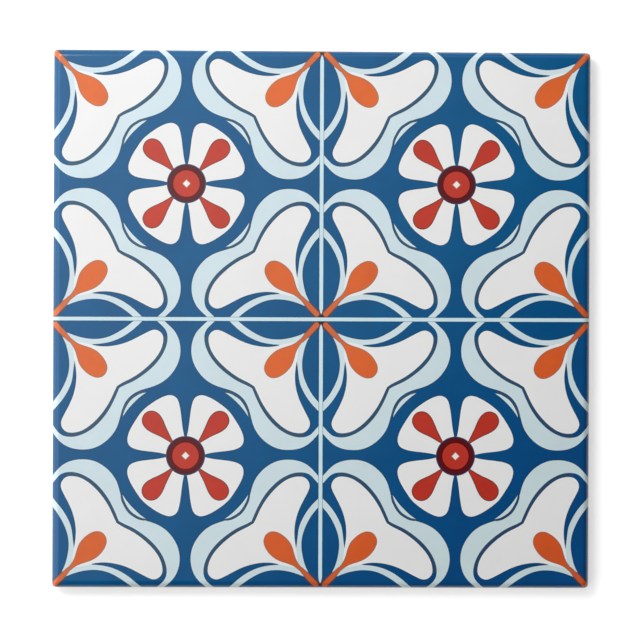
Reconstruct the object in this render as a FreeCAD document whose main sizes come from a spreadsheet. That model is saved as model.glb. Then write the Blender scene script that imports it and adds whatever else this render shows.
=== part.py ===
"""Square glazed wall tile: rolled glazed edge in front, keyed bedding face behind.

The tile lies face up. Its frame has +Z out of the glazed face, X and Y along the sides, and its
origin in the middle of the bedding plane, on which the rim and the ribs of the back stand.
"""
import FreeCAD
import Part
import Sketcher
import math
import os

# Driving sizes in millimetres, and degrees for the draft. Each is set by itself.
SIZES = [
    ("side", 150.0, "edge to edge, the same both ways"),
    ("thickness", 6.0, "bedding plane to glazed face"),
    ("edge_roll", 2.2, "radius of the rolled front edge"),
    ("plan_corner", 1.1, "radius of the four corners seen from the front"),
    ("back_arris", 0.4, "chamfer round the back"),
    ("key_pitch", 19.2, "middle to middle of the keyed pockets"),
    ("key_rib", 2.4, "width of a rib between two pockets, at the bedding plane"),
    ("key_depth", 0.8, "depth of the pockets"),
    ("key_corner", 1.6, "corner radius of a pocket at the bedding plane"),
    ("key_draft", 20.0, "draft of the pocket walls, in degrees"),
    ("rim_width", 8.0, "least width of the flat rim round the pockets"),
]

# Sizes that follow from the driving ones
DERIVED = [
    ("key_count", "=floor((side - 2 * rim_width + key_rib) / key_pitch)", "pockets in a row"),
    ("key_width", "=key_pitch - key_rib", "mouth of a pocket"),
    ("key_reach", "=(key_count - 1) * key_pitch / 2", "tile's middle to the outer pocket's middle"),
]

SAME = 1e-4  # two coordinates nearer than this are the same place


def add_sheet(doc):
    """The spreadsheet of driving and derived sizes, one alias a row."""
    sheet = doc.addObject("Spreadsheet::Sheet", "Sizes")
    for row, (alias, value, note) in enumerate(SIZES + DERIVED, start=1):
        sheet.set(f"A{row}", alias)
        sheet.set(f"B{row}", str(value))
        sheet.set(f"C{row}", note)
        sheet.setAlias(f"B{row}", alias)
    doc.recompute()
    return sheet


def origin_feature(body, role):
    """One of the body's own origin planes or axes, found by its role."""
    return next(item for item in body.Origin.OriginFeatures if item.Role == role)


def add_sketch(body, name):
    """An empty sketch on the body's XY plane, which is the bedding plane."""
    sketch = body.newObject("Sketcher::SketchObject", name)
    sketch.AttachmentSupport = [(origin_feature(body, "XY_Plane"), "")]
    sketch.MapMode = "FlatFace"
    return sketch


def constrain(sketch, *arguments):
    """Add a constraint and give its number."""
    return sketch.addConstraint(Sketcher.Constraint(*arguments))


def drive(sketch, name, expression, *arguments):
    """Add a dimension that follows an expression in the sheet's names."""
    number = constrain(sketch, *arguments)
    sketch.renameConstraint(number, name)
    sketch.setExpression(f"Constraints.{name}", expression)


def draw_plate(sketch, side):
    """The tile's square outline about the origin: sides 0 to 3, anticlockwise from the low one."""
    half = side / 2
    corners = [(-half, -half), (half, -half), (half, half), (-half, half)]
    for start, end in zip(corners, corners[1:] + corners[:1]):
        sketch.addGeometry(Part.LineSegment(FreeCAD.Vector(*start, 0), FreeCAD.Vector(*end, 0)))
    for line in range(4):
        constrain(sketch, "Coincident", line, 2, (line + 1) % 4, 1)
        constrain(sketch, "Horizontal" if line % 2 == 0 else "Vertical", line)
    constrain(sketch, "Equal", 0, 1)
    constrain(sketch, "Symmetric", 0, 1, 1, 2, -1, 1)
    drive(sketch, "side", "Sizes.side", "Distance", 0, side)


def draw_pocket(sketch, middle, width, corner):
    """A pocket's rounded mouth: sides 0 to 3 and corners 4 to 7, anticlockwise from the low side."""
    turn = FreeCAD.Rotation(FreeCAD.Vector(0, 0, 1), 90)
    centre = FreeCAD.Vector(middle, middle, 0)
    run = width / 2 - corner
    start = FreeCAD.Vector(-run, -width / 2, 0)
    end = FreeCAD.Vector(run, -width / 2, 0)
    bend = FreeCAD.Vector(run, -run, 0)
    sides = []
    bends = []
    spin = FreeCAD.Rotation()
    for quarter in range(4):
        sides.append(Part.LineSegment(centre + spin.multVec(start), centre + spin.multVec(end)))
        circle = Part.Circle(centre + spin.multVec(bend), FreeCAD.Vector(0, 0, 1), corner)
        first = math.radians(90 * quarter - 90)
        bends.append(Part.ArcOfCircle(circle, first, first + math.pi / 2))
        spin = turn.multiply(spin)
    sketch.addGeometry(sides + bends)
    for quarter in range(4):
        after = (quarter + 1) % 4
        constrain(sketch, "Tangent", quarter, 2, 4 + quarter, 1)
        constrain(sketch, "Tangent", 4 + quarter, 2, after, 1)
        constrain(sketch, "Horizontal" if quarter % 2 == 0 else "Vertical", quarter)
    for bend_number in (5, 6, 7):
        constrain(sketch, "Equal", 4, bend_number)
    constrain(sketch, "Equal", 0, 1)
    drive(sketch, "corner", "Sizes.key_corner", "Radius", 4, corner)
    drive(sketch, "run", "Sizes.key_width - 2 * Sizes.key_corner", "Distance", 0, 2 * run)
    edge = width / 2 - middle
    drive(sketch, "left", "Sizes.key_reach + Sizes.key_width / 2", "DistanceX", 3, 1, -1, 1, edge)
    drive(sketch, "low", "Sizes.key_reach + Sizes.key_width / 2", "DistanceY", 0, 1, -1, 1, edge)


def edge_names(shape, wanted):
    """Names of the edges whose two ends both satisfy a test."""
    names = []
    for number, edge in enumerate(shape.Edges, start=1):
        if wanted(edge.Vertexes[0].Point, edge.Vertexes[-1].Point):
            names.append(f"Edge{number}")
    return names


def add_edge_feature(body, kind, name, base, names, size, expression):
    """A fillet or chamfer on named edges of the feature before it."""
    feature = body.newObject(kind, name)
    feature.Base = (base, names)
    setattr(feature, size, 1.0)
    feature.setExpression(size, expression)
    body.Document.recompute()
    return feature


def make_tile(doc, sheet):
    """The whole tile: pressed plate, rolled front edge, plan corners, back arris and keyed back."""
    body = doc.addObject("PartDesign::Body", "Tile")
    body.Label = "tile"

    plate_sketch = add_sketch(body, "Outline")
    draw_plate(plate_sketch, sheet.side)
    plate = body.newObject("PartDesign::Pad", "Plate")
    plate.Profile = plate_sketch
    plate.setExpression("Length", "Sizes.thickness")
    doc.recompute()

    # Rolled edge round the glazed face
    top = sheet.thickness
    face_edges = edge_names(plate.Shape, lambda a, b: abs(a.z - top) < SAME and abs(b.z - top) < SAME)
    roll = add_edge_feature(body, "PartDesign::Fillet", "RolledEdge", plate, face_edges,
                            "Radius", "Sizes.edge_roll")

    # The four upright corners, which run out where the roll meets them
    uprights = edge_names(roll.Shape, lambda a, b: abs(a.x - b.x) < SAME and abs(a.y - b.y) < SAME)
    corners = add_edge_feature(body, "PartDesign::Fillet", "PlanCorners", roll, uprights,
                               "Radius", "Sizes.plan_corner")

    # Arris round the back
    back_edges = edge_names(corners.Shape, lambda a, b: abs(a.z) < SAME and abs(b.z) < SAME)
    arris = add_edge_feature(body, "PartDesign::Chamfer", "BackArris", corners, back_edges,
                             "Size", "Sizes.back_arris")

    # First keyed pocket, cut upwards from the bedding plane
    key_sketch = add_sketch(body, "KeyMouth")
    draw_pocket(key_sketch, -sheet.key_reach, sheet.key_width, sheet.key_corner)
    key = body.newObject("PartDesign::Pocket", "Key")
    key.Profile = key_sketch
    key.Reversed = True
    key.setExpression("Length", "Sizes.key_depth")
    key.setExpression("TaperAngle", "-Sizes.key_draft")
    doc.recompute()
    if not key.Shape.Volume < arris.Shape.Volume - SAME:
        raise RuntimeError("the keyed pocket cut nothing")

    # The square grid of pockets
    grid = body.newObject("PartDesign::LinearPattern", "KeyGrid")
    grid.Originals = [key]
    grid.Direction = (key_sketch, ["H_Axis"])
    grid.Direction2 = (key_sketch, ["V_Axis"])
    for suffix in ("", "2"):
        grid.setExpression("Occurrences" + suffix, "Sizes.key_count")
        grid.setExpression("Length" + suffix, "2 * Sizes.key_reach")
    body.Tip = grid
    doc.recompute()
    one_pocket = arris.Shape.Volume - key.Shape.Volume
    all_pockets = arris.Shape.Volume - grid.Shape.Volume
    if abs(all_pockets / one_pocket - sheet.key_count ** 2) > SAME:
        raise RuntimeError("the grid of pockets is not whole")
    return body


def check(doc, bodies):
    """Stop on any failed object, or a sub-part with no valid solid."""
    for item in doc.Objects:
        if "Invalid" in item.State or "Error" in item.State:
            raise RuntimeError(f"{item.Name} failed: {item.State}")
    for body in bodies:
        if body.Shape.isNull() or not body.Shape.isValid() or len(body.Shape.Solids) != 1:
            raise RuntimeError(f"{body.Label} is not one valid solid")


def main():
    doc = FreeCAD.newDocument("WallTile")
    sheet = add_sheet(doc)
    bodies = [make_tile(doc, sheet)]
    doc.recompute()
    check(doc, bodies)
    os.makedirs("parts", exist_ok=True)
    for body in bodies:
        body.Shape.exportStep(f"parts/{body.Label}.step")
        box = body.Shape.BoundBox
        print(f"{body.Label}: {box.XLength:.3f} x {box.YLength:.3f} x {box.ZLength:.3f} mm, "
              f"{body.Shape.Volume / 1000:.2f} cm3, {len(body.Shape.Faces)} faces")


main()
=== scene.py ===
"""The finished look of a square glazed wall tile with a painted ornament, on a pale studio floor.

Lengths are in millimetres, and each mesh is scaled to metres when it is made. The tile lies face up:
+X is right and +Y is up in the picture. The ornament is drawn once, as a quarter of one flower's
square field, and mirrored and repeated from there.
"""

import math

import bpy
import numpy as np
from mathutils import Euler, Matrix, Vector
from mathutils.geometry import delaunay_2d_cdt


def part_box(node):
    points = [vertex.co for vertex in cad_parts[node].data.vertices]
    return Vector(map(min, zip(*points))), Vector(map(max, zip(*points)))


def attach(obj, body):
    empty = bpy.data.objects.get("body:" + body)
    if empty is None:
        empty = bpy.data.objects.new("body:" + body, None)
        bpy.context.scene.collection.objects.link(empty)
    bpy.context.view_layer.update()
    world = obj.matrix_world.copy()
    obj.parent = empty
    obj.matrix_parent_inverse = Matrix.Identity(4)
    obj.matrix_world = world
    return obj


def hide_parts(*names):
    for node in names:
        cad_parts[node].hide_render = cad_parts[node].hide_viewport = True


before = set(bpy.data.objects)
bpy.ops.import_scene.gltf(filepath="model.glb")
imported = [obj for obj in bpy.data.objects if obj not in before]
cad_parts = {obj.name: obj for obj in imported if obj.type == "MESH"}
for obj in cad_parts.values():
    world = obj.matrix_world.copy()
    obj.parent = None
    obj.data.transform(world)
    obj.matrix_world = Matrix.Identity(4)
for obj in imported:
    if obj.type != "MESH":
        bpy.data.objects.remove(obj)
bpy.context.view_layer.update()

MM = 0.001
low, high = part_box("tile")
HALF = (high.x - low.x) / 2 / MM
TOP = high.z / MM
CORNERS = ((1, 1), (-1, 1), (-1, -1), (1, -1))  # anticlockwise from the upper right
TINY = 1e-9               # lengths below this count as none

# Rolled edge and the glaze on it
ROLL = 2.2                # radius of the rolled edge
FLAT = HALF - ROLL        # half width of the flat face
CORNER_POWER = 4.3        # how square the rolled corners are in plan, 2 being round
ROLL_STEPS = 12
CORNER_STEPS = 10
GLAZE_DROP = 1.2          # glaze on the upright side, below the roll
WALL_STEPS = 2
GLAZE_THICK = 0.12        # how far the glaze stands out over the bare clay
GLAZE_LIP = 0.1           # height over which it rounds down to the clay
GLAZE_WANDER = 0.14       # how far the lower line of the glaze strays
STRAY_WAVES = ((5, 1.0, 1.0), (17, 0.0, 0.6), (43, 2.0, 0.4))  # count round the tile, start, share
WRAP = 0.04               # print that goes down the side, as a share of the depth

# Back of the tile, with its pressed pockets
ARRIS = 0.4               # chamfer round the back
KEY_COUNT = 7             # pockets in a row
KEY_PITCH = 19.2          # middle to middle of two pockets
KEY_RIB = 2.4             # width of a rib between them
KEY_MOUTH = (KEY_PITCH - KEY_RIB) / 2  # half width of a pocket's mouth
KEY_DEPTH = 0.8
KEY_CORNER = 1.6          # corner radius of a pocket's mouth
KEY_DRAFT = math.radians(20)
KEY_SOFT = 0.12           # softened edges of the pockets
KEY_CORNER_STEPS = 6

# Print: the flowers stand a repeat apart, and a quarter is drawn on a square of DRAWN by DRAWN
REPEAT = (75.22, 75.40)
DRAWN = 37.5
BORDER = 37.8             # where motifs that cross a field's border end, a little past it
PRINT_SHIFT = (-0.235, -0.026)
PRINT_LEAN = (-0.0004, 0.0009)  # how far it leans right on the way up, and up on the way right
LINES_SHIFT = (-0.25, 0.04)  # the same for the two lines through the middle
LINES_LEAN = (-0.0005, 0.0012)
LOW_FLOWER_SHIFT = -0.3   # the two lower flowers stand a little low
CURVE_STEP = 0.4          # length of the straight pieces that a curve is made of
SAME_PLACE = 0.01         # points of an outline that are nearer than this are one
SPREAD = 0.06             # light paints are drawn smaller by this, as they look larger than they are
OUTLINE = 0.2             # dark outline round the motifs
SLIVER_SHADE = 0.5        # shift that gives the dark line between the sliver and the ribbon
DROP_OUTLINE = 0.32       # brown outline of the orange drops, inside their edge
DROP_HALO = 0.03          # and outside it

# Stems from the orange drops to the field's corner: for each layer where it starts, and its half widths
# from there to the middle of the round end
STEM_END = (36.24, 35.97)
STEM_SHADE = ((32.6, 32.1), (0.5, 0.96, 1.16, 1.24))
STEM_EDGE = ((31.9, 31.38), (0.55, 0.76, 0.76, 0.77))
STEM_FILL = ((31.7, 31.15), (0.1, 0.57))

# Middle of the flower, from the ground up: rings by radius, lozenges by reach
FLOWER_RINGS = [("slate", 5.45), ("maroon", 5.25), ("garnet", 4.45), ("red", 3.65)]
FLOWER_LOZENGES = [("rust", 1.3), ("white", 1.0)]

# Painted shade, darker towards the lower right corner: shares of a glaze's colour, in red, green and blue,
# midway to the lower right corner and near it
BLUE_PAINTED_SHADE = ((0.97, 0.90, 0.925), (0.70, 0.605, 0.785))
PALE_PAINTED_SHADE = ((1.0, 1.0, 0.985), (0.91, 0.92, 0.885))
WHITE_PAINTED_SHADE = ((1.0, 1.0, 1.0), (0.95, 0.95, 0.95))
WARM_PAINTED_SHADE = ((0.965, 0.885, 0.92), (0.86, 0.62, 0.60))
PAINTED_SHADE_REACH = 110         # how far right and down, added up, the painted shade runs from the middle
PAINTED_SHADE_MIDWAY = 0.55       # where midway lies on the way from the upper left
LOWER_RIGHT = (1, -1, 0)

# Paints in the order of the tile's material slots, the first being the ground: for each the colour, the
# share by which its tone varies, and its painted shade towards the lower right
GLAZES = {
    "cobalt": ((0.001, 0.103, 0.267), 0.07, BLUE_PAINTED_SHADE),
    "navy": ((0.006, 0.081, 0.1795), 0.06, BLUE_PAINTED_SHADE),
    "slate": ((0.034, 0.1015, 0.1755), 0.06, BLUE_PAINTED_SHADE),
    "pale": ((0.658, 0.79, 0.85), 0.025, PALE_PAINTED_SHADE),
    "frost": ((0.643, 0.818, 0.872), 0.025, PALE_PAINTED_SHADE),
    "white": ((0.87, 0.87, 0.865), 0.012, WHITE_PAINTED_SHADE),
    "umber": ((0.046, 0.020, 0.0195), 0.06, WARM_PAINTED_SHADE),
    "sepia": ((0.092, 0.062, 0.080), 0.06, WARM_PAINTED_SHADE),
    "rust": ((0.515, 0.174, 0.087), 0.06, WARM_PAINTED_SHADE),
    "orange": ((0.762, 0.151, 0.032), 0.06, WARM_PAINTED_SHADE),
    "oxblood": ((0.175, 0.045, 0.035), 0.06, WARM_PAINTED_SHADE),
    "red": ((0.555, 0.049, 0.028), 0.06, WARM_PAINTED_SHADE),
    "maroon": ((0.089, 0.010, 0.023), 0.06, WARM_PAINTED_SHADE),
    "garnet": ((0.124, 0.0045, 0.0065), 0.06, WARM_PAINTED_SHADE),
}
PAINTS = list(GLAZES)
CLAY = len(PAINTS)

# Most noise lies between these
NOISE_LOW = 0.3
NOISE_HIGH = 0.7

# Sockets of a Mix node that mixes colours
MIX_FACTOR = 0
MIX_FIRST = 6
MIX_SECOND = 7
MIX_RESULT = 2

# Studio surroundings: for each glow the way to it, the cosines to that way between which it grows, and
# its strength
GLOWS = {
    "overhead": ((-0.42, 0.24, 1.0), 0.84, 0.985, 1.6),
    "left": ((-0.9, -0.05, 0.42), 0.76, 0.93, 1.65),
    "far side": ((-0.4, 0.85, 0.7), 0.80, 0.96, 1.25),
    "horizon and below": ((0.0, 0.0, -1.0), -0.20, -0.12, 0.9),
}
CEILING = 0.08            # strength everywhere, under the glows

# Floor
FLOOR_REACH = 6000        # half its side
FLOOR_DROP = 0.05         # how far it lies under the tile
FLOOR_DARK = (0.77, 0.77, 0.77)
FLOOR_LIGHT = (0.79, 0.79, 0.79)
FLOOR_LIFT = 0.5          # what it shines by itself where the camera, gloss or glass sees it


# Curves
def smooth(points):
    """Points along a natural cubic spline through the given ones, spaced by their distances."""
    knots = np.array(points, float)
    gaps = np.hypot(*np.diff(knots, axis=0).T)
    count = len(knots)
    system = np.eye(count)
    right = np.zeros((count, 2))
    for i in range(1, count - 1):
        system[i, i - 1:i + 2] = gaps[i - 1], 2 * (gaps[i - 1] + gaps[i]), gaps[i]
        right[i] = 6 * ((knots[i + 1] - knots[i]) / gaps[i] - (knots[i] - knots[i - 1]) / gaps[i - 1])
    bend = np.linalg.solve(system, right)
    curve = []
    for i, gap in enumerate(gaps):
        for along in np.linspace(0, gap, max(2, round(gap / CURVE_STEP)), endpoint=False):
            back = gap - along
            curve.append((bend[i] * back ** 3 + bend[i + 1] * along ** 3) / (6 * gap)
                         + (knots[i] / gap - bend[i] * gap / 6) * back
                         + (knots[i + 1] / gap - bend[i + 1] * gap / 6) * along)
    return [tuple(point) for point in curve] + [tuple(knots[-1])]


def outline(*runs):
    """A closed outline of smooth runs, which meet each other at corners."""
    return [point for run in runs for point in smooth(run)]


def circle(radius, steps=72):
    """A circle about the origin."""
    turns = [2 * math.pi * i / steps for i in range(steps)]
    return [(radius * math.cos(turn), radius * math.sin(turn)) for turn in turns]


def distinct(points):
    """The outline without points that repeat the one before them."""
    return [point for point, before in zip(points, points[-1:] + points[:-1])
            if math.dist(point, before) > SAME_PLACE]


def twice_area(points):
    """Twice the signed area of an outline, positive when it runs anticlockwise."""
    return sum(a[0] * b[1] - b[0] * a[1] for a, b in zip(points, points[1:] + points[:1]))


def grown(points, distance):
    """The outline moved outwards by a distance, or inwards if that is negative."""
    points = distinct(points)
    ring = np.array(points if twice_area(points) > 0 else points[::-1], float)
    ahead = np.roll(ring, -1, axis=0) - ring
    ahead /= np.linalg.norm(ahead, axis=1)[:, None]
    behind = np.roll(ahead, 1, axis=0)
    out = np.stack([ahead[:, 1] + behind[:, 1], -ahead[:, 0] - behind[:, 0]], axis=1)
    share = np.maximum((out ** 2).sum(axis=1), 1.0)
    return [tuple(point) for point in ring + out * (2 * distance / share)[:, None]]


# Motifs of a quarter: u and v run from the flower's middle, and the next crossing lies at DRAWN, DRAWN
LEAF_UPPER = [(19.0, 18.85), (17.7, 19.7), (15.35, 20.9), (12.25, 22.9), (9.8, 25.05), (7.9, 27.25),
              (6.75, 29.35), (6.25, 31.3), (6.35, 32.95), (7.15, 34.05), (8.6, 34.6), (10.45, 34.05),
              (13.05, 32.7), (16.05, 31.25), (19.0, 30.35), (22.0, 29.95), (25.2, 30.2), (28.4, 31.0),
              (31.3, 31.3)]
LEAF_LOWER = [(31.3, 31.3), (31.2, 28.4), (30.7, 25.15), (30.35, 22.0), (30.55, 19.05), (31.3, 16.05),
              (32.65, 13.0), (34.0, 10.4), (34.55, 8.6), (34.05, 7.1), (33.0, 6.2), (31.3, 5.95),
              (29.2, 6.35), (27.0, 7.55), (24.8, 9.45), (22.6, 12.05), (20.7, 15.2), (19.6, 17.6),
              (19.0, 18.85)]
RIBBON_INNER_UPPER = [(9.0, BORDER), (6.95, 35.9), (5.55, 34.25), (5.15, 32.6), (5.4, 30.45), (6.2, 28.35),
                      (7.5, 26.25), (9.25, 24.25), (11.9, 22.05), (14.95, 20.15), (17.15, 19.15),
                      (18.45, 18.45)]
RIBBON_INNER_LOWER = [(18.45, 18.45), (19.0, 17.1), (20.0, 14.85), (21.75, 11.7), (23.95, 8.95),
                      (25.95, 7.15), (28.2, 5.8), (30.4, 5.05), (32.6, 4.95), (34.3, 5.45), (35.9, 6.95),
                      (BORDER, 9.0)]
RIBBON_OUTER = [(BORDER, 6.8), (35.8, 4.55), (34.05, 2.9), (31.7, 1.75), (28.8, 1.3), (26.05, 1.55),
                (23.0, 2.9), (20.7, 4.9), (19.05, 7.35), (18.2, 9.9), (17.6, 12.2), (16.8, 14.2),
                (15.7, 15.7), (14.2, 16.9), (12.3, 17.8), (10.0, 18.5), (7.5, 19.45), (5.15, 21.0),
                (3.25, 23.2), (1.85, 26.1), (1.45, 28.8), (1.85, 31.65), (2.95, 34.0), (4.6, 35.8),
                (6.8, BORDER)]


def leaf():
    """White heart-shaped leaf between two flowers, its notch towards the flower."""
    return outline(LEAF_UPPER, LEAF_LOWER)


def leaf_channel():
    """Dark line between the leaf and the ribbon, along the notch and most of the lobes."""
    reach = 9  # points of each run, counted from the notch
    return outline(RIBBON_INNER_UPPER[-reach:], RIBBON_INNER_LOWER[:reach], LEAF_LOWER[-reach:],
                   LEAF_UPPER[:reach])


def ribbon():
    """Pale ribbon that follows the leaf's outer side."""
    return outline(RIBBON_INNER_UPPER, RIBBON_INNER_LOWER, RIBBON_OUTER)


def upper_band():
    """Pale band over the leaf, from its stem to the field's upper border."""
    upper = [(13.7, BORDER), (16.45, 35.45), (19.0, 33.8), (21.85, 32.5), (25.2, 32.0), (28.6, 32.35),
             (31.2, 33.1), (33.3, 33.95)]
    under_leaf = [(33.4, 32.6), (31.3, 31.0), (25.8, 30.1)]
    lower = [(25.8, 30.42), (23.0, 30.68), (20.0, 31.4), (16.95, 32.85), (13.95, 35.1), (11.2, BORDER)]
    return outline(upper, under_leaf, lower)


def side_band():
    """Pale band beside the leaf, from its stem to the field's side."""
    upper = [(BORDER, 13.7), (35.4, 16.4), (33.85, 19.0), (32.7, 21.95), (32.3, 25.2), (32.75, 28.5),
             (33.55, 31.1), (34.45, 32.85)]
    under_leaf = [(32.6, 33.4), (31.0, 31.3), (30.4, 25.8)]
    lower = [(30.75, 25.8), (31.1, 23.05), (31.55, 20.05), (32.9, 16.95), (35.05, 13.9), (BORDER, 11.2)]
    return outline(upper, under_leaf, lower)


SLIVER_UPPER = [(10.8, 17.5), (12.3, 17.25), (13.6, 16.6), (14.85, 15.75), (15.85, 14.6), (16.65, 13.2),
                (17.25, 11.75), (17.45, 10.6)]


def sliver():
    """Pale sliver in the crook of the ribbon."""
    lower = [(17.45, 10.6), (16.45, 12.1), (15.3, 13.55), (13.85, 15.05), (12.4, 16.35), (10.8, 17.5)]
    return outline(SLIVER_UPPER, lower)


def sliver_shade():
    """Dark line between the sliver and the ribbon."""
    return outline(SLIVER_UPPER, [(u + SLIVER_SHADE, v + SLIVER_SHADE) for u, v in SLIVER_UPPER[::-1]])


def petal():
    """White petal, a little longer upwards than sideways, from its root under the ring."""
    root = (3.0, 3.0)
    return outline([(0.2, 4.9), (0.65, 7.0), (1.0, 9.5), (1.3, 12.0), (1.7, 14.2), (2.45, 15.95),
                    (4.05, 16.8), (6.0, 16.45), (8.1, 15.4), (10.1, 14.05), (12.2, 12.2), (13.8, 9.95),
                    (15.05, 7.9), (15.95, 5.8), (16.15, 4.15), (15.6, 2.75), (14.15, 1.85), (12.0, 1.35),
                    (9.5, 1.05), (7.0, 0.7), (4.9, 0.2)]) + [root]


def red_drop():
    """Red drop on the petal, its tip at the ring."""
    return outline([(3.4, 3.9), (4.3, 5.65), (5.3, 7.75), (6.25, 9.95), (7.25, 11.45), (8.5, 12.3),
                    (9.8, 12.45), (11.1, 11.9), (11.5, 11.5), (11.8, 11.05), (12.15, 9.75), (11.9, 8.65),
                    (11.15, 7.55), (9.8, 6.55), (7.65, 5.55), (5.6, 4.45), (3.9, 3.4)])


def orange_drop():
    """Orange drop on the leaf, drawn out to its stem."""
    return outline([(32.31, 31.22), (31.35, 29.95), (30.65, 28.6), (30.1, 26.8), (29.4, 24.85),
                    (28.05, 23.1), (26.4, 21.85), (24.7, 21.25), (23.3, 21.45), (22.35, 22.2),
                    (21.73, 23.85), (22.15, 25.6), (23.4, 27.45), (25.0, 28.8), (27.0, 29.7),
                    (29.0, 30.35), (30.5, 31.1), (31.64, 32.04)])


def stem(start, halves):
    """Straight stem from a place to a round end by the field's corner, through half widths at even
    distances."""
    tip_steps = 12
    start, end = Vector(start), Vector(STEM_END)
    ahead = math.atan2(end.y - start.y, end.x - start.x)
    places = [start.lerp(end, i / (len(halves) - 1)) for i in range(len(halves))]

    def beside(place, half, turn):
        """The point at a half width from a place, in a direction."""
        return (place.x + half * math.cos(turn), place.y + half * math.sin(turn))

    right = [beside(place, half, ahead - math.pi / 2) for place, half in zip(places, halves)]
    turns = [ahead + math.pi * (i / tip_steps - 0.5) for i in range(1, tip_steps)]
    tip = [beside(end, halves[-1], turn) for turn in turns]
    left = [beside(place, half, ahead + math.pi / 2) for place, half in zip(places, halves)]
    return right + tip + left[::-1]


def knot():
    """Dark patch where the stems of neighbouring quarters come together."""
    return [(BORDER, 35.9), (36.95, 36.0), (36.4, 36.6), (36.2, BORDER), (BORDER, BORDER)]


def leaf_paints():
    """Paints of a quarter's leaf, ribbon, bands and the dark edging of its stem, from the ground up."""
    pale = [ribbon(), upper_band(), side_band()]
    paints = [("navy", grown(shape, OUTLINE)) for shape in pale + [leaf()]]
    paints += [("slate", leaf_channel())]
    paints += [("pale", grown(shape, -SPREAD)) for shape in pale]
    paints += [("white", grown(leaf(), -SPREAD))]
    return paints + [("sepia", stem(*STEM_SHADE)), ("umber", knot())]


def stem_paints():
    """Paints of a quarter's orange drop and stem, which lie over the upright line."""
    return [("rust", grown(orange_drop(), DROP_HALO)), ("rust", stem(*STEM_EDGE)),
            ("orange", grown(orange_drop(), -DROP_OUTLINE)), ("orange", stem(*STEM_FILL))]


def flower_quarter_paints():
    """Paints of a quarter of the flower."""
    return [("navy", grown(sliver(), OUTLINE)), ("slate", sliver_shade()),
            ("pale", grown(sliver(), -SPREAD)), ("navy", grown(petal(), OUTLINE)),
            ("white", grown(petal(), -SPREAD)), ("oxblood", red_drop()),
            ("red", grown(red_drop(), -OUTLINE - SPREAD))]


def lozenge(reach):
    """A lozenge about the origin, its points as far from it as the reach."""
    return [(reach, 0), (0, reach), (-reach, 0), (0, -reach)]


def flower_heart_paints():
    """Paints of the rings in the flower's middle, with their white lozenge."""
    rings = [(paint, circle(radius)) for paint, radius in FLOWER_RINGS]
    return rings + [(paint, lozenge(reach)) for paint, reach in FLOWER_LOZENGES]


def upright_line(side):
    """Pale upright line between the fields above or below the middle, drawn out to a point at both
    ends."""
    half = 0.52
    taper = 1.8  # length over which an end narrows
    shoulder = (half * 0.6, taper * 0.4)  # where the narrowing bends
    near = 1.35  # from the tile's middle to the first end
    far = 2 * DRAWN - near
    right = [(0, near), (shoulder[0], near + shoulder[1]), (half, near + taper), (half, far - taper),
             (shoulder[0], far - shoulder[1]), (0, far)]
    line = right + [(-x, y) for x, y in right[-2:0:-1]]
    return [(LINES_SHIFT[0] + x + LINES_LEAN[0] * side * y, LINES_SHIFT[1] + side * y) for x, y in line]


def level_line():
    """Pale level line through the middle, over everything."""
    half = 0.51
    reach = HALF + ROLL
    line = [(-reach, -half), (reach, -half), (reach, half), (-reach, half)]
    return [(x, LINES_SHIFT[1] + y + LINES_LEAN[1] * x) for x, y in line]


# Print
def placed(points, field, quarter, lift=0.0):
    """A quarter's points on the tile, for one of the four fields and one of its four quarters."""
    spots = []
    for u, v in distinct(points):
        x = REPEAT[0] / 2 * (field[0] + quarter[0] * u / DRAWN)
        y = REPEAT[1] / 2 * (field[1] + quarter[1] * v / DRAWN)
        spots.append((PRINT_SHIFT[0] + x + PRINT_LEAN[0] * y,
                      PRINT_SHIFT[1] + y + PRINT_LEAN[1] * x + lift))
    return spots


def whole_print():
    """Every painted shape on the tile, from the ground up, as (paint, outline)."""
    signs = [(across, up) for across in (-1, 1) for up in (-1, 1)]
    leaves = leaf_paints()
    petals = flower_quarter_paints()
    hearts = flower_heart_paints()
    stems = stem_paints()
    shapes = []
    for field in signs:
        lift = LOW_FLOWER_SHIFT if field[1] < 0 else 0.0
        for quarter in signs:
            shapes += [(paint, placed(shape, field, quarter)) for paint, shape in leaves]
            shapes += [(paint, placed(shape, field, quarter, lift)) for paint, shape in petals]
        shapes += [(paint, placed(shape, field, (1, 1), lift)) for paint, shape in hearts]
    for side in (1, -1):
        shapes += [("navy", grown(upright_line(side), OUTLINE / 2)), ("frost", upright_line(side))]
    for field in signs:
        for quarter in signs:
            shapes += [(paint, placed(shape, field, quarter)) for paint, shape in stems]
    return shapes + [("navy", grown(level_line(), OUTLINE / 2)), ("frost", level_line())]


# Edge: a point's way out over the roll is measured in the print and turned into plan and depth
def edge_profile():
    """Rows of print offset, plan offset, depth and slope, over the roll and down the side."""
    rows = []
    for step in range(ROLL_STEPS + 1):
        slope = math.pi / 2 * step / ROLL_STEPS
        out, down = ROLL * math.sin(slope), ROLL * (1 - math.cos(slope))
        rows.append((out + WRAP * down, out, down, slope))
    for step in range(1, WALL_STEPS + 1):
        down = ROLL + GLAZE_DROP * step / WALL_STEPS
        rows.append((ROLL + WRAP * down, ROLL, down, math.pi / 2))
    return np.array(rows)


def ring_at(offset):
    """The closed line round the face that lies a print offset outside its flat part."""
    ring = []
    for side_x, side_y in CORNERS:
        corner = []
        for step in range(CORNER_STEPS + 1):
            turn = math.pi / 2 * step / CORNER_STEPS
            out_x = offset * abs(math.cos(turn)) ** (2 / CORNER_POWER)
            out_y = offset * abs(math.sin(turn)) ** (2 / CORNER_POWER)
            corner.append((side_x * (FLAT + out_x), side_y * (FLAT + out_y)))
        ring += corner if side_x * side_y > 0 else corner[::-1]
    return ring


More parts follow.
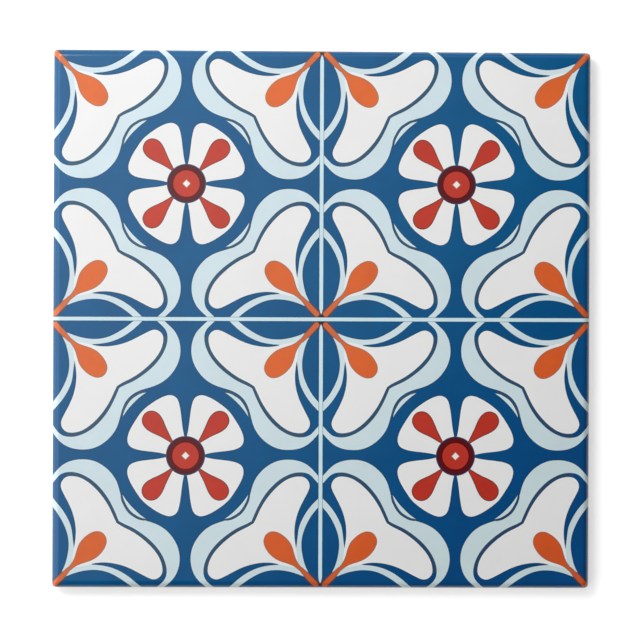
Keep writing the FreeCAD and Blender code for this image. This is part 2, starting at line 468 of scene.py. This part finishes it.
def on_edge(spots, profile):
    """Place and normal on the glazed surface of points given in the print."""
    beyond = np.maximum(np.abs(spots) - FLAT, 0)
    offset = (beyond ** CORNER_POWER).sum(axis=1) ** (1 / CORNER_POWER)
    safe = np.where(offset > TINY, offset, 1)[:, None]
    way = np.sign(spots) * beyond / safe
    out, down, slope = (np.interp(offset, profile[:, 0], profile[:, i]) for i in (1, 2, 3))
    plan = np.where(beyond > 0, np.sign(spots) * FLAT + way * out[:, None], spots)
    gradient = np.sign(spots) * (beyond / safe) ** (CORNER_POWER - 1)
    gradient /= np.maximum(np.linalg.norm(gradient, axis=1), TINY)[:, None]
    normal = np.column_stack([gradient * np.sin(slope)[:, None], np.cos(slope)])
    return np.column_stack([plan, TOP - down]), normal


# Places on the finish map, as shares of it: the face large, the back small in the corner beyond it, and
# the sides in strips beside the face
FACE_MAP = 0.78
BACK_MAP = 0.2
STRIP_MAP = 0.012
MAP_GAP = 0.006
FIRST_STRIP = FACE_MAP + 3 * MAP_GAP


def face_map(spots):
    """Finish map of the glazed face."""
    reach = HALF + ROLL
    return MAP_GAP + FACE_MAP * (np.asarray(spots)[:, :2] + reach) / (2 * reach)


def back_map(spots):
    """Finish map of the keyed back."""
    return 1 - MAP_GAP - BACK_MAP + BACK_MAP * (np.asarray(spots)[:, :2] + HALF) / (2 * HALF)


def strip_map(spots):
    """Finish map of one face of the sides: a strip for each side, beside the glazed face."""
    spots = np.asarray(spots)
    x, y = spots[:, 0].mean(), spots[:, 1].mean()
    side, along = (0, 1) if abs(x) >= abs(y) else (2, 0)
    number = side + int((x if along else y) > 0)
    start = FIRST_STRIP + number * (STRIP_MAP + MAP_GAP)
    return np.column_stack([start + STRIP_MAP * spots[:, 2] / TOP,
                            MAP_GAP + FACE_MAP * (spots[:, along] + HALF) / (2 * HALF)])


class Skin:
    """A mesh in the making: corners, faces, and for each face its paint, finish map and normals."""

    def __init__(self):
        self.spots = []
        self.faces = []
        self.paints = []
        self.maps = []
        self.normals = []

    def add_corners(self, spots):
        """Add corners and give their numbers."""
        first = len(self.spots)
        self.spots += [tuple(spot) for spot in spots]
        return list(range(first, len(self.spots)))

    def add_face(self, numbers, paint, places, normals=None):
        """Add a face. Without normals it keeps the automatic ones."""
        self.faces.append(tuple(numbers))
        self.paints.append(paint)
        self.maps += [tuple(place) for place in places]
        self.normals += [(0, 0, 0)] * len(numbers) if normals is None else [tuple(n) for n in normals]


def triangles_within(spots, edges, faces):
    """Triangulate outlines that lie over each other: gives the corners, the triangles within the first
    outline, the numbers of the outlines that each lies in, and the given points that each corner is."""
    inside_only = 1
    merging = 1e-4  # points nearer than this become one corner
    corners, _, triangles, sources, _, owners = delaunay_2d_cdt(
        [Vector(spot) for spot in spots], edges, faces, inside_only, merging, True)
    kept = [(face, numbers) for face, numbers in zip(triangles, owners) if 0 in numbers]
    flat = np.array([tuple(corner) for corner in corners])
    return flat, [face for face, _ in kept], [numbers for _, numbers in kept], sources


def closed(first, count):
    """The edges of a closed line of corners."""
    return [(first + i, first + (i + 1) % count) for i in range(count)]


def border_loop(triangles):
    """The corners round the open border of a patch of triangles, in order."""
    sides = {(face[i], face[(i + 1) % len(face)]) for face in triangles for i in range(len(face))}
    ahead = dict(side for side in sides if side[::-1] not in sides)
    start = min(ahead)
    loop = [start]
    while ahead[loop[-1]] != start:
        loop.append(ahead[loop[-1]])
    return loop


def glaze_stray(x, y):
    """How far the lower line of the glaze strays up or down at a place round the tile."""
    around = math.atan2(y, x)
    waves = sum(share * math.sin(count * around + start) for count, start, share in STRAY_WAVES)
    return GLAZE_WANDER / 2 * waves


def add_glaze(skin):
    """The glazed face with its print, over the roll and down the side. Gives its lower border as
    corner numbers and the way out at each."""
    profile = edge_profile()
    shapes = [(PAINTS[0], ring_at(profile[-1, 0]))] + whole_print()
    spots, edges, faces = [], [], []
    for _, shape in shapes:
        numbers = list(range(len(spots), len(spots) + len(shape)))
        faces.append(numbers if twice_area(shape) > 0 else numbers[::-1])
        spots += shape
    flat_border = [(side_x * FLAT, side_y * FLAT) for side_x, side_y in CORNERS]
    for ring in [flat_border] + [ring_at(offset) for offset in profile[1:-1, 0]]:
        edges += closed(len(spots), len(ring))
        spots += ring
    flat, triangles, owners, _ = triangles_within(spots, edges, faces)
    places, normals = on_edge(flat, profile)
    border = border_loop(triangles)
    for corner in border:
        places[corner, 2] += glaze_stray(*places[corner, :2])
    numbers = skin.add_corners(places)
    maps = face_map(flat)
    for face, layers in zip(triangles, owners):
        paint = PAINTS.index(shapes[max(layers)][0])
        skin.add_face([numbers[i] for i in face], paint, maps[face], normals[face])
    return [numbers[corner] for corner in border], normals[border]


def add_sides(skin, border, ways_out):
    """Bare clay from the glaze's lower line down to the back. Gives the lowest ring's corners."""
    rims = np.array([skin.spots[corner] for corner in border])
    lip = rims[:, 2] - GLAZE_LIP
    rings = [border]
    for distance, heights in ((GLAZE_THICK, lip), (GLAZE_THICK, ARRIS), (GLAZE_THICK + ARRIS, 0.0)):
        ring = rims - ways_out * distance
        ring[:, 2] = heights
        rings.append(skin.add_corners(ring))
    for upper, lower in zip(rings, rings[1:]):
        for i in range(len(border)):
            after = (i + 1) % len(border)
            face = [upper[i], lower[i], lower[after], upper[after]]
            skin.add_face(face, CLAY, strip_map([skin.spots[corner] for corner in face]))
    return rings[-1]


def rounded_square(middle, half, corner):
    """A square outline with round corners, anticlockwise."""
    square = []
    for quarter, (side_x, side_y) in enumerate(CORNERS):
        for step in range(KEY_CORNER_STEPS + 1):
            turn = math.pi / 2 * (quarter + step / KEY_CORNER_STEPS)
            square.append((middle[0] + side_x * (half - corner) + corner * math.cos(turn),
                           middle[1] + side_y * (half - corner) + corner * math.sin(turn)))
    return square


def key_rings():
    """Half width and height of the lines that shape a pocket, from its softened mouth to its floor."""
    lean = math.tan(KEY_DRAFT)
    return [(KEY_MOUTH + KEY_SOFT, 0.0), (KEY_MOUTH - KEY_SOFT * lean, KEY_SOFT),
            (KEY_MOUTH - (KEY_DEPTH - KEY_SOFT) * lean, KEY_DEPTH - KEY_SOFT),
            (KEY_MOUTH - KEY_DEPTH * lean - KEY_SOFT, KEY_DEPTH)]


def add_back(skin, rim):
    """The flat rim and ribs of the back, with the grid of pressed pockets."""
    spots = [skin.spots[corner][:2] for corner in rim]
    faces = [list(range(len(rim)))]
    heights = [0.0] * len(rim)
    edges = []
    for column in range(KEY_COUNT):
        for row in range(KEY_COUNT):
            middle = [(place - (KEY_COUNT - 1) / 2) * KEY_PITCH for place in (column, row)]
            for half, height in key_rings():
                square = rounded_square(middle, half, KEY_CORNER + half - KEY_MOUTH)
                edges += closed(len(spots), len(square))
                spots += square
                heights += [height] * len(square)
    flat, triangles, _, sources = triangles_within(spots, edges, faces)
    numbers = []
    for (x, y), source in zip(flat, sources):
        on_rim = source[0] < len(rim)
        numbers.append(rim[source[0]] if on_rim else skin.add_corners([(x, y, heights[source[0]])])[0])
    maps = back_map(flat)
    for face in triangles:
        downward = face[::-1]
        skin.add_face([numbers[i] for i in downward], CLAY, maps[downward])


def add_tile(materials):
    """The whole tile as one closed mesh, which stands for the CAD node."""
    crease = math.radians(25)
    skin = Skin()
    border, ways_out = add_glaze(skin)
    rim = add_sides(skin, border, ways_out)
    add_back(skin, rim)
    mesh = bpy.data.meshes.new("glazed_tile")
    mesh.from_pydata([Vector(spot) * MM for spot in skin.spots], [], skin.faces)
    for material in materials:
        mesh.materials.append(material)
    mesh.polygons.foreach_set("material_index", skin.paints)
    finish_map = mesh.uv_layers.new(name="OFBake")
    finish_map.data.foreach_set("uv", np.array(skin.maps).ravel())
    mesh.shade_smooth()
    mesh.set_sharp_from_angle(angle=crease)
    mesh.normals_split_custom_set(skin.normals)
    tile = bpy.data.objects.new("glazed_tile", mesh)
    bpy.context.scene.collection.objects.link(tile)
    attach(tile, "root")
    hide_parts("tile")
    return tile


# Materials
def add_node(material, kind, **values):
    """A node of a material, with its properties and, by name, the values of its inputs."""
    node = material.node_tree.nodes.new(kind)
    for name, value in values.items():
        if hasattr(node, name):
            setattr(node, name, value)
        else:
            node.inputs[name.replace("_", " ")].default_value = value
    return node


def new_material(name):
    """An empty node material with a Principled shader, as (material, shader, object coordinates)."""
    material = bpy.data.materials.new(name)
    material.use_nodes = True
    material.node_tree.nodes.clear()
    output = add_node(material, "ShaderNodeOutputMaterial")
    shader = add_node(material, "ShaderNodeBsdfPrincipled")
    material.node_tree.links.new(shader.outputs["BSDF"], output.inputs["Surface"])
    places = add_node(material, "ShaderNodeTexCoord")
    return material, shader, places.outputs["Object"]


def noise(material, places, size, **values):
    """Noise whose patches are about a size in millimetres across."""
    node = add_node(material, "ShaderNodeTexNoise", **values)
    node.inputs["Scale"].default_value = 1 / (size * MM)
    material.node_tree.links.new(places, node.inputs["Vector"])
    return node.outputs["Fac"]


def ramp(material, source, stops):
    """A colour ramp over a value, with stops as (place, colour)."""
    node = add_node(material, "ShaderNodeValToRGB")
    elements = node.color_ramp.elements
    while len(elements) < len(stops):
        elements.new(0.5)
    for element, (place, colour) in zip(elements, stops):
        element.position = place
        element.color = (*colour, 1)
    material.node_tree.links.new(source, node.inputs["Fac"])
    return node.outputs["Color"]


def mottled(material, source, dark, light):
    """Noise turned into a colour that wanders between two."""
    return ramp(material, source, [(NOISE_LOW, dark), (NOISE_HIGH, light)])


def ranged(material, source, least, most):
    """Noise spread over a range of values."""
    node = add_node(material, "ShaderNodeMapRange")
    node.inputs["From Min"].default_value = NOISE_LOW
    node.inputs["From Max"].default_value = NOISE_HIGH
    node.inputs["To Min"].default_value = least
    node.inputs["To Max"].default_value = most
    material.node_tree.links.new(source, node.inputs["Value"])
    return node.outputs["Result"]


def bumped(material, height, strength, distance, under=None):
    """A bump from a height, on top of another bump if there is one."""
    node = add_node(material, "ShaderNodeBump", Strength=strength, Distance=distance * MM)
    material.node_tree.links.new(height, node.inputs["Height"])
    if under is not None:
        material.node_tree.links.new(under, node.inputs["Normal"])
    return node.outputs["Normal"]


def shaded(colour, share):
    """A colour made lighter or darker by a share."""
    return tuple(min(1.0, channel * (1 + share)) for channel in colour)


def multiplied(material, first, second):
    """The product of two colours."""
    node = add_node(material, "ShaderNodeMix", data_type="RGBA", blend_type="MULTIPLY")
    node.inputs[MIX_FACTOR].default_value = 1.0
    material.node_tree.links.new(first, node.inputs[MIX_FIRST])
    material.node_tree.links.new(second, node.inputs[MIX_SECOND])
    return node.outputs[MIX_RESULT]


def painted_shade(material, places, midway, farthest):
    """Shares of a glaze's colour that paint shade on it, darker towards the lower right, all of it at
    first.
    """
    whole = (1.0, 1.0, 1.0)
    along = add_node(material, "ShaderNodeVectorMath", operation="DOT_PRODUCT")
    along.inputs[1].default_value = LOWER_RIGHT
    material.node_tree.links.new(places, along.inputs[0])
    way = add_node(material, "ShaderNodeMapRange")
    way.inputs["From Min"].default_value = -PAINTED_SHADE_REACH * MM
    way.inputs["From Max"].default_value = PAINTED_SHADE_REACH * MM
    material.node_tree.links.new(along.outputs["Value"], way.inputs["Value"])
    return ramp(material, way.outputs["Result"], [(0.0, whole), (PAINTED_SHADE_MIDWAY, midway), (1.0, farthest)])


def glaze(name, colour, variation, painted_shading):
    """Glossy fired glaze over a paint: cloudy tone with painted shade that darkens it towards the lower
    right, a faintly wavy surface and fine pores."""
    material, shader, places = new_material(name)
    links = material.node_tree.links
    clouds = noise(material, places, size=9, Detail=4.0, Roughness=0.6)
    tone = mottled(material, clouds, shaded(colour, -variation), shaded(colour, variation))
    # Painted shade: the cloudy tone is darkened towards the lower right
    shade_painted_tone = multiplied(material, tone, painted_shade(material, places, *painted_shading))
    links.new(shade_painted_tone, shader.inputs["Base Color"])
    smears = noise(material, places, size=5, Detail=3.0)
    links.new(ranged(material, smears, least=0.07, most=0.12), shader.inputs["Roughness"])
    swell = noise(material, places, size=7, Detail=1.0)
    waves = bumped(material, swell, strength=0.25, distance=0.02)
    grain = noise(material, places, size=0.8, Detail=2.0)
    pores = bumped(material, grain, strength=0.12, distance=0.004, under=waves)
    links.new(pores, shader.inputs["Normal"])
    shader.inputs["IOR"].default_value = 1.5
    return material


def fired_clay():
    """Bare pressed and fired clay: warm, matt and slightly sandy, with small darker grains."""
    material, shader, places = new_material("fired_clay")
    links = material.node_tree.links
    clouds = noise(material, places, size=12, Detail=6.0, Roughness=0.65)
    body = mottled(material, clouds, dark=(0.50, 0.36, 0.25), light=(0.62, 0.48, 0.35))
    grains = noise(material, places, size=0.7, Detail=2.0)
    dark, plain = (0.62, 0.55, 0.50), (1.0, 1.0, 1.0)
    specks = ramp(material, grains, [(0.30, dark), (0.40, plain)])
    links.new(multiplied(material, body, specks), shader.inputs["Base Color"])
    links.new(ranged(material, clouds, least=0.82, most=0.95), shader.inputs["Roughness"])
    sand = bumped(material, noise(material, places, size=0.35, Detail=3.0), strength=0.5, distance=0.03)
    lumps = bumped(material, clouds, strength=0.3, distance=0.15, under=sand)
    links.new(lumps, shader.inputs["Normal"])
    return material


def tile_materials():
    """A glaze for each paint, in slot order, and the clay last."""
    return [glaze(paint, *looks) for paint, looks in GLAZES.items()] + [fired_clay()]


# Stage
def floor_paint():
    """Matt pale paint that looks white from the camera, in gloss and through glass, and keeps shadows."""
    material, shader, places = new_material("floor_paint")
    links = material.node_tree.links
    shader.inputs["Roughness"].default_value = 0.9
    shader.inputs["Specular IOR Level"].default_value = 0.0
    mottle = noise(material, places, size=400, Detail=2.0)
    links.new(mottled(material, mottle, FLOOR_DARK, FLOOR_LIGHT), shader.inputs["Base Color"])
    rays = add_node(material, "ShaderNodeLightPath")
    seen = add_node(material, "ShaderNodeMath", operation="MAXIMUM")
    shown = add_node(material, "ShaderNodeMath", operation="MAXIMUM")
    links.new(rays.outputs["Is Camera Ray"], seen.inputs[0])
    links.new(rays.outputs["Is Glossy Ray"], seen.inputs[1])
    links.new(seen.outputs["Value"], shown.inputs[0])
    links.new(rays.outputs["Is Transmission Ray"], shown.inputs[1])
    lift = add_node(material, "ShaderNodeMapRange")
    lift.inputs["To Max"].default_value = FLOOR_LIFT
    links.new(shown.outputs["Value"], lift.inputs["Value"])
    shader.inputs["Emission Color"].default_value = (1, 1, 1, 1)
    links.new(lift.outputs["Result"], shader.inputs["Emission Strength"])
    return material


def add_floor():
    """A wide plain floor, just under the tile."""
    mesh = bpy.data.meshes.new("floor")
    reach = FLOOR_REACH * MM
    mesh.from_pydata([(-reach, -reach, 0), (reach, -reach, 0), (reach, reach, 0), (-reach, reach, 0)],
                     [], [(0, 1, 2, 3)])
    mesh.materials.append(floor_paint())
    floor = bpy.data.objects.new("floor", mesh)
    floor.location.z = -FLOOR_DROP * MM
    bpy.context.scene.collection.objects.link(floor)


def add_world():
    """Studio surroundings: a pale horizon, a dim ceiling and broad soft glows overhead, at the left and
    beyond the tile."""
    world = bpy.data.worlds.new("studio")
    world.use_nodes = True
    nodes, links = world.node_tree.nodes, world.node_tree.links
    nodes.clear()
    output = nodes.new("ShaderNodeOutputWorld")
    background = nodes.new("ShaderNodeBackground")
    links.new(background.outputs["Background"], output.inputs["Surface"])
    towards = nodes.new("ShaderNodeTexCoord").outputs["Generated"]

    def glow(way, start, end, strength):
        """A light of a strength that fades in around a way, between two cosines to it."""
        facing = nodes.new("ShaderNodeVectorMath")
        facing.operation = "DOT_PRODUCT"
        facing.inputs[1].default_value = Vector(way).normalized()
        links.new(towards, facing.inputs[0])
        spread = nodes.new("ShaderNodeMapRange")
        spread.interpolation_type = "SMOOTHSTEP"
        spread.inputs["From Min"].default_value = start
        spread.inputs["From Max"].default_value = end
        spread.inputs["To Max"].default_value = strength
        links.new(facing.outputs["Value"], spread.inputs["Value"])
        return spread.outputs["Result"]

    total = None
    for looks in GLOWS.values():
        added = nodes.new("ShaderNodeMath")
        added.operation = "ADD"
        links.new(glow(*looks), added.inputs[0])
        if total is None:
            added.inputs[1].default_value = CEILING
        else:
            links.new(total, added.inputs[1])
        total = added.outputs["Value"]
    links.new(total, background.inputs["Strength"])
    bpy.context.scene.world = world


def add_lamp(name, place, size, power):
    """A soft square lamp that faces straight down, its power in watts."""
    data = bpy.data.lights.new(name, "AREA")
    data.size = size * MM
    data.energy = power
    lamp = bpy.data.objects.new(name, data)
    lamp.location = Vector(place) * MM
    bpy.context.scene.collection.objects.link(lamp)


def add_camera():
    """A long lens looking straight down, but for a lean of about a degree, as the photo was taken."""
    distance = 498.3
    lean = Euler([math.radians(angle) for angle in (-0.15, -1.0, 0.25)])
    aim = Vector((0.0, -0.7, TOP))
    data = bpy.data.cameras.new("camera")
    data.lens = 100
    data.sensor_width = 36
    camera = bpy.data.objects.new("camera", data)
    camera.rotation_euler = lean
    camera.location = (aim + lean.to_matrix() @ Vector((0, 0, distance))) * MM
    bpy.context.scene.collection.objects.link(camera)
    bpy.context.scene.camera = camera


add_tile(tile_materials())
add_floor()
add_world()
add_lamp("key", place=(-260, 280, 460), size=240, power=2.0)
add_camera()

bpy.context.scene.view_settings.view_transform = "Standard"
